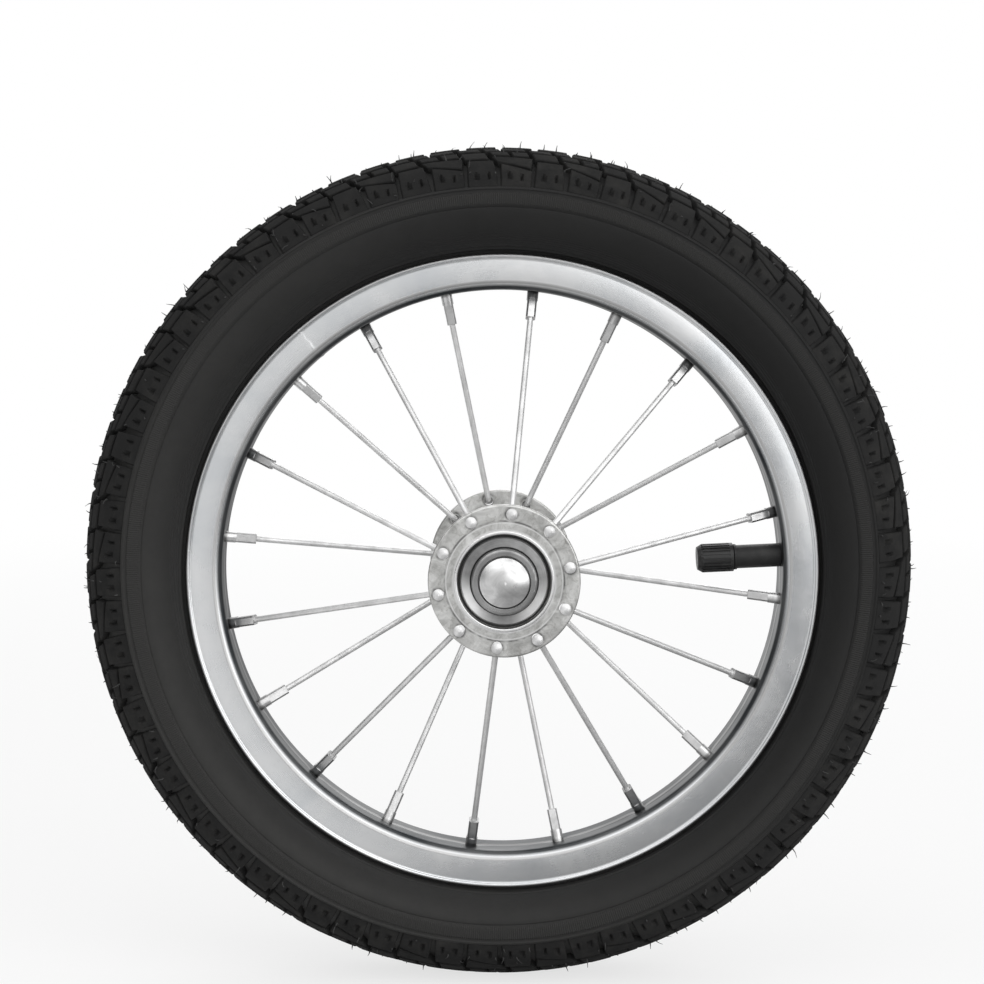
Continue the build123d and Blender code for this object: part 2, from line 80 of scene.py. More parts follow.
# Places on the tyre are millimetres along its skin, from the widest line towards the crown.
SIDE_BAND = (-3.2, -2.3, 1.1, 1.4)     # the ribbed band: where it rises, from..to, and falls
SIDE_BAND_HEIGHT = 0.4
SIDE_RIDGE = (2.55, 0.42, 0.35)        # middle, half width and height
SIDE_LINE = (-3.55, 0.35, -0.25)
SIDE_RING = (-19.0, 0.7, 0.5)
PLAIN_SIDE_END = -4.1                  # the plain stretch below those mouldings
PLAIN_SIDE_STEP = 0.9
# Where the carcass has points: over the ring, as shares of its half width, and over the rest.
RING_SHARES = (-1.0, -0.6, -0.3, 0.0, 0.3, 0.6, 1.0)
LINE_PLACES = [-3.95, -3.75, -3.55, -3.35, -3.15, -2.95, -2.75, -2.55]
BAND_PLACES = [-2.3, -1.7, -0.9, 0.0, 0.8, 1.1, 1.2, 1.3, 1.4]
RIDGE_PLACES = [1.8, 2.1, 2.25, 2.4, 2.55, 2.7, 2.85, 3.0]
TREAD_EDGE_STEP = 0.16
TREAD_EDGE_STEPS = 6
TREAD_FLOOR_FROM = 1.1                 # beyond the tread's start
TREAD_FLOOR_STEPS = 22

PITCHES = 72                  # shoulder blocks round each side, short and tall by turns
TREAD_START = 3.3
GROOVE_DEPTH = 2.3
GROOVE_DEPTH_AT_EDGE = 1.3    # beside the sidewall
GROOVE_EDGE = (-0.1, 0.7)     # the step down to it, from the tread's start
TREAD_MEAN_DEPTH = 2.0        # below the crown, where a pitch's length is taken
BLOCK_BEVEL = 0.28
BLOCK_FLARE = 0.35            # how far a block's root stands out from its top
BLOCK_ROOT = 0.25             # how far a block's root goes below the groove's floor
LEDGE_WIDTH = 2.7             # of the lower strip along a shoulder block's foot
LEDGE_DEPTH = 0.35
PIT_HALF_WIDTH = 0.75         # of the two notches above that strip
PIT_HEIGHT = 2.6
PIT_DEPTH = 1.3
PIT_TAPER = 0.6               # share of its width that a notch has lost at its top
PIT_WALL = (0.75, 1.25)       # its wall, from..to, in half widths
SHOULDER_GRID = 0.78          # largest face on a shoulder block
CROWN_GRID = 2.4              # largest face on a crown block
SCATTER_ALONG = 0.012         # how far blocks stray, as a share of a pitch
SCATTER_ACROSS = 0.1          # and in millimetres
SINK = (-0.06, 0.1)           # how far their tops do
TREAD_SHARP_DEG = 28.0

HAIR_R = 0.27
HAIR_TIP = 0.7                # share of its thickness that a hair has lost at its tip
HAIR_SIDES = 5
HAIR_RINGS = 4
HAIR_ROOT_DEPTH = 0.3
HAIR_TURN = 0.3               # spread of its lean, and of its bend
HAIR_FLOOR_GAP = 0.6
HAIR_SHARP_DEG = 80.0
CROWN_HAIR_CHANCE = 0.9
CROWN_HAIR_SHARES = (0.2, 0.62)        # of a pitch
CROWN_HAIR_SPREAD = 0.05
CROWN_HAIR_PLACES = (27.2, 30.4)
CROWN_HAIR_LENGTHS = (0.8, 1.9)
LOOSE_HAIRS = 340             # besides the regular ones along the crown
LOOSE_HAIR_SHARES = (0.12, 0.5, 0.88)
LOOSE_HAIR_PLACES = (5.0, 8.6, 11.6, 16.6, 22.0)
LOOSE_HAIR_LENGTHS = (0.8, 2.2)

SIDE_PAINTED_LIGHT_WAY = (-6.0, 0.0, -4.9)      # painted light: the way towards which the sidewall grows lighter, as if lit from the lower left, over the tyre's radius
BAND_SHADE = (0.1207, 0.1249)
# Painted shade: the sidewall darkens towards the rim, where the tyre meets it.
FOOT_PAINTED_SHADE = (0.1075, 0.1165)
FOOT_RINGS = (0.1085, 0.1115)
BAND_RIBS = 1100.0            # their turns are this many radians round the tyre, a radian
FOOT_RING_TURNS = 9000.0      # the same, a metre

# ---- Rim -----------------------------------------------------------------------------------------
RIM_OUTER_R = 108.0
RIM_HALF_WIDTH = 9.5
RIM_EDGE_R = 0.8              # rolled bead along the outer edge
RIM_FACE_INNER_R = 98.9
RIM_CROWN = 0.16              # how far each side face bulges
RIM_BED_R = 95.8
RIM_BED_HALF_WIDTH = 6.6
RIM_WALL = 1.2
RIM_SEAT_R = 101.5
RIM_WELL_HALF_WIDTH = 5.2
RIM_EDGE_ARC = (180.0, -58.0, 16)      # of the rolled bead: from, to and steps
RIM_EDGE_STEP = 0.25                   # between that bead and the side face
RIM_FACE_STEPS = 12
RIM_CREASE_R = 1.3
RIM_CREASE_ARC = (-8.0, -42.0, 5)
RIM_BEND_R = 2.2
RIM_BEND_ARC = (-52.0, -90.0, 6)
RIM_BED_STEPS = 8
RIM_SEGMENTS = 540
RIM_SHARP_DEG = 50.0
RIM_BED_RISE = 1.0                     # what lies lower than this over the bed can be dented
NIPPLE_ANGLES = [6.4 + 18.0 * number for number in range(20)]
DIMPLE_DEPTH = 0.55           # of the dent round each nipple
DIMPLE_R = 2.6
WELD_DEG = 319.5              # the rim's butt weld
WELD_HEIGHT = 0.14
WELD_HALF_WIDTH = 0.7
WELD_SWAY = 0.25
WELD_SWAY_TURN = 1.9          # radians a millimetre
WELD_STEP_DEG = 0.11          # between the cross sections near it
WELD_STEPS = 9                # of them, on each side
WELD_CLEAR_DEG = 1.1          # the even ones stop this far from it
WELD_SHADE = 0.006            # half the width of its shade, in radians
# Painted shade on the rolled edge and the crease: a darker tone that dims their highlights.
RIM_EDGE_PAINTED_SHADE = (0.1070, 0.1073)
RIM_CREASE_PAINTED_SHADE = (0.0979, 0.0989)
# Painted shade in the spoke bed, and a painted highlight along its middle ridge.
RIM_BED_PAINTED_SHADE = (0.0968, 0.0977)
RIM_RIDGE_PAINTED_HIGHLIGHT = (0.0008, 0.0018)     # from the bed's middle line
# Darker rings on the nipples: a thin one nearer the axle, and one of painted shade where each nipple
# meets the rim.
NIPPLE_DARK_RINGS = [(0.0849, 0.0853), (0.0952, 0.0975)]

# ---- Hub -----------------------------------------------------------------------------------------
HEAD_CIRCLE_R = 0.022         # where the spokes' heads sit
HEAD_STARTS = (6.4, 24.4)     # the first head on each flange
HEAD_STEP_DEG = 36.0
HEAD_PAINTED_SHADE = (0.0016, 0.0019, 0.002, 0.0027)   # painted shade round each spoke's head: from a head's centre, where it rises, and falls
HUB_MIDDLE = (-0.028, -0.026)          # between the flanges, along the axle
# Painted shade just outside the raised step's edge.
HUB_STEP_PAINTED_SHADE = (0.0194, 0.0199)
# Painted highlight along the raised step's edge.
HUB_STEP_PAINTED_HIGHLIGHT = (0.0189, 0.0193)
HUB_LIP = (0.0154, 0.0155, 0.0166, 0.0173)    # the machined lip, brighter, which is also a painted highlight: where it rises, and falls
# Black painted shade inside the lip, where the bearing sits.
HUB_SEAT_PAINTED_SHADE = (0.01525, 0.01542)
# Sectors of the bearings' rings, lighter and darker as painted reflections: angles in radians, and
# grey levels.
OUTER_RING_PAINTED_SECTORS = [(1.75, 2.72, 0.92), (-2.55, -1.65, 0.82)]
INNER_RING_PAINTED_SECTORS = [(-3.0, -1.2, 0.16), (0.4, 2.6, 0.40)]
SECTOR_SOFTNESS = 0.28
SHIELD_R = 0.0113
# Painted reflection: a darker, duller disc in the middle of the release button.
BUTTON_PAINTED_REFLECTION = (0.0020, 0.0034)

# ---- Picture -------------------------------------------------------------------------------------
CAMERA_PLACE = (-0.0138, -0.769, 0.0857)
CAMERA_LENS = 78.5
CAMERA_SHIFT = (0.0305, -0.176)
FLOOR_Z = (SHIFT_Z - TYRE_OUTER_R) * MM
WORLD_LEVEL = 0.5             # light from the room on the object
ROOM_BRIGHT_WAY = (-0.80, 0.35, 0.48)
ROOM_DARK_AT = -0.70          # cosines to that way, between which the room brightens
ROOM_BRIGHT_AT = -0.25
ROOM_DARK = 0.45
ROOM_DARK_LEFT = (-0.92, -0.55, 0.35, 1.0)            # cosines to the right, and the levels there
FLOOR_DARK_RIGHT = (-0.11, 0.03, 1.0, 0.42)           # from x to x, in metres, and the levels there
FLOOR_DARK_AWAY = (-3.0, -0.7, 0.85, 0.42)            # the same along y
FLOOR_SIZE = 16.0
FLOOR_GRID = 8
FLOOR_COLOUR = (0.86, 0.86, 0.86, 1.0)
FLOOR_FADE = (0.3, 1.6, 0.72, 1.0)     # from the object to the white backdrop, and its shares
WHITE = (1.0, 1.0, 1.0, 1.0)

# Soft boxes: name, place, size and power in watts.
LAMPS = [
    ("key", (0.85, -1.12, 0.62), 1.6, 11.0),
    ("top", (-0.5, -0.62, 1.25), 1.5, 6.0),
    ("right", (1.15, -0.8, -0.02), 0.8, 3.0),
    ("back", (0.25, 0.95, 0.95), 1.0, 6.0),
]
LAMP_TARGET = Vector((0.0, RIM_Y * MM, 0.0))


# ---- Meshes --------------------------------------------------------------------------------------
def new_piece(name, points, faces, body, material, sharp_deg):
    """A piece from points in millimetres, smooth but for edges sharper than sharp_deg."""
    mesh = bpy.data.meshes.new(name)
    mesh.from_pydata([(x * MM, y * MM, z * MM) for x, y, z in points], [], faces)
    work = bmesh.new()
    work.from_mesh(mesh)
    bmesh.ops.recalc_face_normals(work, faces=work.faces)
    for face in work.faces:
        face.smooth = True
    work.to_mesh(mesh)
    work.free()
    mesh.set_sharp_from_angle(angle=math.radians(sharp_deg))
    mesh.materials.append(material)
    piece = bpy.data.objects.new(name, mesh)
    bpy.context.scene.collection.objects.link(piece)
    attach(piece, body)
    return piece


def around(y, out, angle):
    """A point at a distance from the axle, at an angle in radians."""
    return (out * math.sin(angle), y, out * math.cos(angle))


def lathe_faces(turns, profile_length):
    """The faces of a closed profile turned right round the axle."""
    faces = []
    for turn in range(turns):
        after = (turn + 1) % turns
        for place in range(profile_length):
            beside = (place + 1) % profile_length
            faces.append((
                turn * profile_length + place,
                turn * profile_length + beside,
                after * profile_length + beside,
                after * profile_length + place,
            ))
    return faces


def arc(centre, radius, start_deg, end_deg, steps):
    """Points of an arc in the plane of (y, distance from the axle).  0 degrees points along +Y."""
    y, out = centre
    points = []
    for step in range(steps + 1):
        turn = math.radians(start_deg + (end_deg - start_deg) * step / steps)
        points.append((y + radius * math.cos(turn), out + radius * math.sin(turn)))
    return points


def smoothstep(low, high, value):
    """0 below low, 1 above high, and smooth between them."""
    share = min(1.0, max(0.0, (value - low) / (high - low)))
    return share * share * (3.0 - 2.0 * share)


# ---- Tyre ----------------------------------------------------------------------------------------
SIDE_LENGTH = math.radians(TYRE_SHOULDER_DEG) * TYRE_SIDE_R
SIDE_CENTRE = (TYRE_HALF_WIDTH - TYRE_SIDE_R, TYRE_SIDE_HEIGHT)
SHOULDER_Y = SIDE_CENTRE[0] + TYRE_SIDE_R * math.cos(math.radians(TYRE_SHOULDER_DEG))
SHOULDER_R = TYRE_SIDE_HEIGHT + TYRE_SIDE_R * math.sin(math.radians(TYRE_SHOULDER_DEG))
CROWN_RISE = TYRE_OUTER_R - SHOULDER_R
CROWN_R = (SHOULDER_Y ** 2 + CROWN_RISE ** 2) / (2 * CROWN_RISE)
CROWN_SPREAD = math.asin(SHOULDER_Y / CROWN_R)
CROWN_MIDDLE = SIDE_LENGTH + CROWN_R * CROWN_SPREAD
FOOT = -math.radians(90.0) * TYRE_SIDE_R
SIDES = (-1, 1)


def skin(place, side, depth):
    """(y, distance from the axle) on the tyre's skin, depth below it."""
    if place <= SIDE_LENGTH:
        turn = place / TYRE_SIDE_R
        radius = TYRE_SIDE_R - depth
        y = SIDE_CENTRE[0] + radius * math.cos(turn)
        out = SIDE_CENTRE[1] + radius * math.sin(turn)
    else:
        turn = CROWN_SPREAD - (place - SIDE_LENGTH) / CROWN_R
        radius = CROWN_R - depth
        y = radius * math.sin(turn)
        out = TYRE_OUTER_R - CROWN_R + radius * math.cos(turn)
    return RIM_Y + side * y, out


def seated(point):
    """Where a point of the tyre is once the tyre sits off-centre on the rim."""
    x, y, z = point
    share = smoothstep(SHIFT_FROM_R, SHIFT_FULL_R, math.hypot(x, z))
    return (x + SHIFT_X * share, y, z + SHIFT_Z * share)


def groove_depth(place):
    """Depth of the tread's floor below the skin."""
    low, high = GROOVE_EDGE
    edge = smoothstep(TREAD_START + low, TREAD_START + high, place)
    inward = smoothstep(TREAD_START, SIDE_LENGTH, place)
    return edge * GROOVE_DEPTH_AT_EDGE + inward * (GROOVE_DEPTH - GROOVE_DEPTH_AT_EDGE)


def bead_line(place, middle, half_width, height):
    """Height of a rounded line that runs right round the sidewall."""
    return height * (1.0 - smoothstep(0.0, half_width, abs(place - middle)))


def side_relief(place):
    """How far the sidewall's mouldings stand above its skin."""
    rise, top, edge, fall = SIDE_BAND
    band = SIDE_BAND_HEIGHT * smoothstep(rise, top, place) * (1.0 - smoothstep(edge, fall, place))
    lines = [bead_line(place, *line) for line in (SIDE_RIDGE, SIDE_LINE, SIDE_RING)]
    return band + sum(lines)


def carcass_half():
    """Places on one half of the skin, from the foot to the middle of the crown."""
    plain_steps = int((PLAIN_SIDE_END - FOOT) / PLAIN_SIDE_STEP)
    places = [FOOT + PLAIN_SIDE_STEP * step for step in range(plain_steps)]
    ring, ring_half_width, _ = SIDE_RING
    places += [ring + ring_half_width * share for share in RING_SHARES]
    places += LINE_PLACES + BAND_PLACES + RIDGE_PLACES
    places += [TREAD_START + TREAD_EDGE_STEP * step for step in range(TREAD_EDGE_STEPS)]
    first = TREAD_START + TREAD_FLOOR_FROM
    for step in range(TREAD_FLOOR_STEPS):
        places.append(first + (CROWN_MIDDLE - first) * step / TREAD_FLOOR_STEPS)
    return sorted(places)


def tyre_carcass(material):
    """The tyre without its tread's blocks: sidewalls, beads, lining and the grooves' floor."""
    half = carcass_half()
    outer = [skin(place, 1, groove_depth(place) - side_relief(place)) for place in half]
    crown = [skin(CROWN_MIDDLE, 1, GROOVE_DEPTH)]
    lining_r = TYRE_SIDE_R - TYRE_WALL
    lining = arc(SIDE_CENTRE, lining_r, TYRE_SHOULDER_DEG, -90.0, CARCASS_LINING_STEPS)
    inner = [(RIM_Y + y, out) for y, out in lining]
    bead = [
        (RIM_Y + BEAD_INNER_Y, TYRE_SIDE_HEIGHT - TYRE_SIDE_R + BEAD_TOP_RISE),
        (RIM_Y + BEAD_INNER_Y, BEAD_BASE_R),
        (RIM_Y + BEAD_OUTER_Y, BEAD_BASE_R),
        (RIM_Y + BEAD_OUTER_Y, RIM_OUTER_R - BEAD_DEPTH),
    ]
    right = inner[:-1] + bead + outer
    left = [(2 * RIM_Y - y, out) for y, out in reversed(right)]
    profile = right + crown + left
    points = []
    for turn in range(CARCASS_SEGMENTS):
        angle = 2 * math.pi * turn / CARCASS_SEGMENTS
        points += [seated(around(y, out, angle)) for y, out in profile]
    faces = lathe_faces(CARCASS_SEGMENTS, len(profile))
    piece = new_piece(
        "tyre_carcass", points, faces, "wheel", material, CARCASS_SHARP_DEG)
    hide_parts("tyre")


def block_lines(length, fine):
    """(place, whether it is the root, the shoulder or the top) of grid lines across a block."""
    inside = max(1, round((length - 2 * BLOCK_BEVEL) / fine))
    span = length - 2 * BLOCK_BEVEL
    tops = [(BLOCK_BEVEL + span * step / inside, "top") for step in range(inside + 1)]
    start = [(-BLOCK_FLARE, "root"), (0.0, "shoulder")]
    return start + tops + [(length, "shoulder"), (length + BLOCK_FLARE, "root")]


def notch(along, up):
    """How deep a shoulder block's notch is, as a share.  It narrows from its foot to its top."""
    if not 0.0 <= up <= PIT_HEIGHT:
        return 0.0
    half_width = PIT_HALF_WIDTH * (1.0 - PIT_TAPER * up / PIT_HEIGHT)
    return 1.0 - smoothstep(*PIT_WALL, abs(along) / half_width)


def across_corners(corners, a, b):
    """The point of a four-cornered block at shares a and b of its length and width."""
    weights = ((1 - a) * (1 - b), a * (1 - b), a * b, (1 - a) * b)
    share = sum(weight * corner[0] for weight, corner in zip(weights, corners))
    place = sum(weight * corner[1] for weight, corner in zip(weights, corners))
    return share, place


def block(points, faces, corners, side, pitch, fine=CROWN_GRID, pits=(), ledge=0.0, sink=0.0):
    """Adds one tread block.  Its corners go round it, as (share of a pitch, place)."""
    (u0, t0), (u1, t1), (u2, t2), (u3, t3) = corners
    pitch_length = 2 * math.pi * (TYRE_OUTER_R - TREAD_MEAN_DEPTH) / PITCHES
    length = 0.5 * (u1 - u0 + u2 - u3) * pitch_length
    width = 0.5 * (t3 - t0 + t2 - t1)
    columns = block_lines(length, fine)
    rows = block_lines(width, fine)
    first = len(points)
    for across, row_kind in rows:
        for along, column_kind in columns:
            share, place = across_corners(corners, along / length, across / width)
            lower = sink + (LEDGE_DEPTH if across < ledge else 0.0)
            if "root" in (row_kind, column_kind):
                depth = groove_depth(place) + BLOCK_ROOT
            elif "shoulder" in (row_kind, column_kind):
                depth = BLOCK_BEVEL + lower
            else:
                depth = lower + PIT_DEPTH * sum(notch(along - x, across - ledge) for x in pits)
            angle = (pitch + share) * 2 * math.pi / PITCHES
            y, out = skin(place, side, depth)
            points.append(seated(around(y, out, angle)))
    for row in range(len(rows) - 1):
        for column in range(len(columns) - 1):
            corner = first + row * len(columns) + column
            faces.append((corner, corner + 1, corner + len(columns) + 1, corner + len(columns)))


# The tread's blocks over two pitches, as corners in (share of a pitch, place).
SHOULDER_BLOCKS = [
    [(0.06, 3.3), (0.94, 3.3), (0.94, 9.9), (0.06, 13.2)],
    [(1.06, 3.3), (1.94, 3.3), (1.82, 15.0), (1.10, 15.0)],
]
SHOULDER_PITS = (2.9, 7.3)    # the notches' places along a shoulder block
CROWN_BLOCKS = [
    [(-0.04, 14.2), (0.92, 11.1), (0.95, 16.6), (-0.20, 17.4)],
    [(1.03, 16.2), (1.70, 16.2), (1.60, 20.6), (0.93, 20.6)],
    [(-0.18, 18.5), (0.30, 18.2), (0.22, 21.4), (-0.28, 21.4)],
    [(0.42, 18.1), (0.86, 17.8), (0.80, 21.4), (0.34, 21.4)],
    [(0.90, 21.8), (1.50, 21.8), (1.42, 24.6), (0.82, 24.6)],
    [(1.62, 21.8), (2.06, 21.8), (1.98, 24.6), (1.54, 24.6)],
    [(0.06, 22.6), (0.74, 22.6), (0.70, 25.4), (0.06, 25.4)],
    [(0.09, 26.5), (0.91, 26.5), (0.91, 31.5), (0.09, 31.5)],
    [(1.09, 25.7), (1.91, 25.7), (1.91, 31.5), (1.09, 31.5)],
]


def moulded(corners, chance):
    """A block's corners, moved a little, as no two blocks of a worn mould are alike."""
    along = chance.uniform(-SCATTER_ALONG, SCATTER_ALONG)
    across = chance.uniform(-SCATTER_ACROSS, SCATTER_ACROSS)
    return [(share + along, place + across) for share, place in corners]


def tyre_tread(material):
    """The tread's blocks, on both sides of the crown's middle."""
    chance = random.Random(7)
    points, faces = [], []
    for pitch in range(0, PITCHES, 2):
        for side in SIDES:
            for corners in SHOULDER_BLOCKS:
                block(points, faces, moulded(corners, chance), side, pitch, SHOULDER_GRID,
                      SHOULDER_PITS, LEDGE_WIDTH, chance.uniform(*SINK))
            for corners in CROWN_BLOCKS:
                block(points, faces, moulded(corners, chance), side, pitch,
                      sink=chance.uniform(*SINK))
    new_piece("tyre_tread", points, faces, "wheel", material, TREAD_SHARP_DEG)


def hair(points, faces, chance, side, place, angle, length):
    """Adds one of the thin hairs that a mould's vents leave, unless it would go into the floor."""
    y, out = skin(place, side, HAIR_ROOT_DEPTH)
    y_up, out_up = skin(place, side, HAIR_ROOT_DEPTH - 1.0)
    root = Vector(around(y, out, angle))
    normal = (Vector(around(y_up, out_up, angle)) - root).normalized()
    lean = Vector([chance.gauss(0.0, HAIR_TURN) for _ in range(3)])
    bend = Vector([chance.gauss(0.0, HAIR_TURN) for _ in range(3)])
    tip = seated(root + (normal + lean + bend) * length)
    if tip[2] < SHIFT_Z - TYRE_OUTER_R + HAIR_FLOOR_GAP:
        return
    side_way = normal.cross(Vector((0.3, 0.5, 0.8))).normalized()
    other_way = normal.cross(side_way)
    first = len(points)
    for ring in range(HAIR_RINGS):
        share = ring / (HAIR_RINGS - 1)
        middle = root + (normal + lean * share + bend * share * share) * (length * share)
        radius = HAIR_R * (1.0 - HAIR_TIP * share)
        for corner in range(HAIR_SIDES):
            turn = 2 * math.pi * corner / HAIR_SIDES
            point = middle + radius * (math.cos(turn) * side_way + math.sin(turn) * other_way)
            points.append(seated(point))
    for ring in range(HAIR_RINGS - 1):
        for corner in range(HAIR_SIDES):
            here = first + ring * HAIR_SIDES + corner
            beside = first + ring * HAIR_SIDES + (corner + 1) % HAIR_SIDES
            faces.append((here, beside, beside + HAIR_SIDES, here + HAIR_SIDES))
    for ring in (0, HAIR_RINGS - 1):
        low = first + ring * HAIR_SIDES
        faces.append(tuple(range(low, low + HAIR_SIDES)))


def tyre_hairs(material):
    """Hairs in rows on the crown's blocks, and others here and there on the shoulders."""
    chance = random.Random(12)
    points, faces = [], []
    for pitch in range(PITCHES):
        for side in SIDES:
            for share in CROWN_HAIR_SHARES:
                if chance.random() < CROWN_HAIR_CHANCE:
                    stray = chance.gauss(0.0, CROWN_HAIR_SPREAD)
                    angle = (pitch + share + stray) * 2 * math.pi / PITCHES
                    place = chance.choice(CROWN_HAIR_PLACES)
                    length = chance.uniform(*CROWN_HAIR_LENGTHS)
                    hair(points, faces, chance, side, place, angle, length)
    for number in range(LOOSE_HAIRS):
        pitch = chance.randrange(PITCHES) + chance.choice(LOOSE_HAIR_SHARES)
        place = chance.choice(LOOSE_HAIR_PLACES)
        angle = pitch * 2 * math.pi / PITCHES
        length = chance.uniform(*LOOSE_HAIR_LENGTHS)
        hair(points, faces, chance, SIDES[number % 2], place, angle, length)
    new_piece("tyre_hairs", points, faces, "wheel", material, HAIR_SHARP_DEG)


# ---- Rim -----------------------------------------------------------------------------------------
def rim_half():
    """Half of the rim's section, from the well, round the edge and down to the bed's middle."""
    inner_face = RIM_HALF_WIDTH - RIM_WALL
    edge_centre = (inner_face + RIM_EDGE_R, RIM_OUTER_R - RIM_EDGE_R)
    well = [
        (RIM_WELL_HALF_WIDTH, RIM_BED_R + RIM_WALL),
        (RIM_WELL_HALF_WIDTH, RIM_SEAT_R),
        (inner_face, RIM_SEAT_R),
    ]
    rolled = arc(edge_centre, RIM_EDGE_R, *RIM_EDGE_ARC)
    face_outer_r = rolled[-1][1] - RIM_EDGE_STEP
    middle_r = 0.5 * (face_outer_r + RIM_FACE_INNER_R)
    half_height = 0.5 * (face_outer_r - RIM_FACE_INNER_R)
    face = []
    for step in range(RIM_FACE_STEPS + 1):
        share = 1.0 - step / (RIM_FACE_STEPS / 2)
        bulge = RIM_CROWN * (1.0 - share * share)
        face.append((RIM_HALF_WIDTH - RIM_CROWN + bulge, middle_r + share * half_height))
    crease_centre = (RIM_HALF_WIDTH - RIM_CROWN - RIM_CREASE_R, RIM_FACE_INNER_R)
    crease = arc(crease_centre, RIM_CREASE_R, *RIM_CREASE_ARC)
    bend_centre = (RIM_BED_HALF_WIDTH, RIM_BED_R + RIM_BEND_R)
    bend = arc(bend_centre, RIM_BEND_R, *RIM_BEND_ARC)
    bed = []
    for step in range(1, RIM_BED_STEPS):
        bed.append((RIM_BED_HALF_WIDTH * (1.0 - step / RIM_BED_STEPS), RIM_BED_R))
    return well + rolled + face + crease + bend + bed


def rim_angles():
    """Angles of the rim's cross sections in degrees, with more of them at the weld."""
    even = [360.0 * turn / RIM_SEGMENTS for turn in range(RIM_SEGMENTS)]
    near = [WELD_DEG + WELD_STEP_DEG * step for step in range(-WELD_STEPS, WELD_STEPS + 1)]
    kept = [angle for angle in even if abs(angle - WELD_DEG) > WELD_CLEAR_DEG]
    return sorted(kept + near)


def rim_relief(y, out, angle_deg):
    """Depth of the dent round a nipple and height of the weld's bead, at a point of the rim."""
    if out > RIM_BED_R + RIM_BED_RISE:
        dent = 0.0
    else:
        turns = [(angle_deg - nipple + 180.0) % 360.0 - 180.0 for nipple in NIPPLE_ANGLES]
        away = min(abs(turn) for turn in turns)
        distance = math.hypot(math.radians(away) * RIM_BED_R, y)
        dent = DIMPLE_DEPTH * math.exp(-((distance / DIMPLE_R) ** 2))
    sway = WELD_SWAY * math.sin(WELD_SWAY_TURN * out)
    along = math.radians(angle_deg - WELD_DEG) * out + sway
    weld = WELD_HEIGHT * math.exp(-((along / WELD_HALF_WIDTH) ** 2))
    return dent, weld


def rim(material):
    """The rim's band, with the dents round its nipples and its weld."""
    half = rim_half()
    profile = half + [(0.0, RIM_BED_R)] + [(-y, out) for y, out in reversed(half)]
    visible_from = 3          # the well's points at each end of the section have no relief
    points = []
    angles = rim_angles()
    for angle_deg in angles:
        for number, (y, out) in enumerate(profile):
            if visible_from <= number < len(profile) - visible_from:
                dent, weld = rim_relief(y, out, angle_deg)
                on_face = out > RIM_FACE_INNER_R
                y += math.copysign(weld, y) if on_face else 0.0
                out += dent - (0.0 if on_face else weld)
            points.append(around(RIM_Y + y, out, math.radians(angle_deg)))
    faces = lathe_faces(len(angles), len(profile))
    piece = new_piece("rim_band", points, faces, "wheel", material, RIM_SHARP_DEG)
    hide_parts("rim")


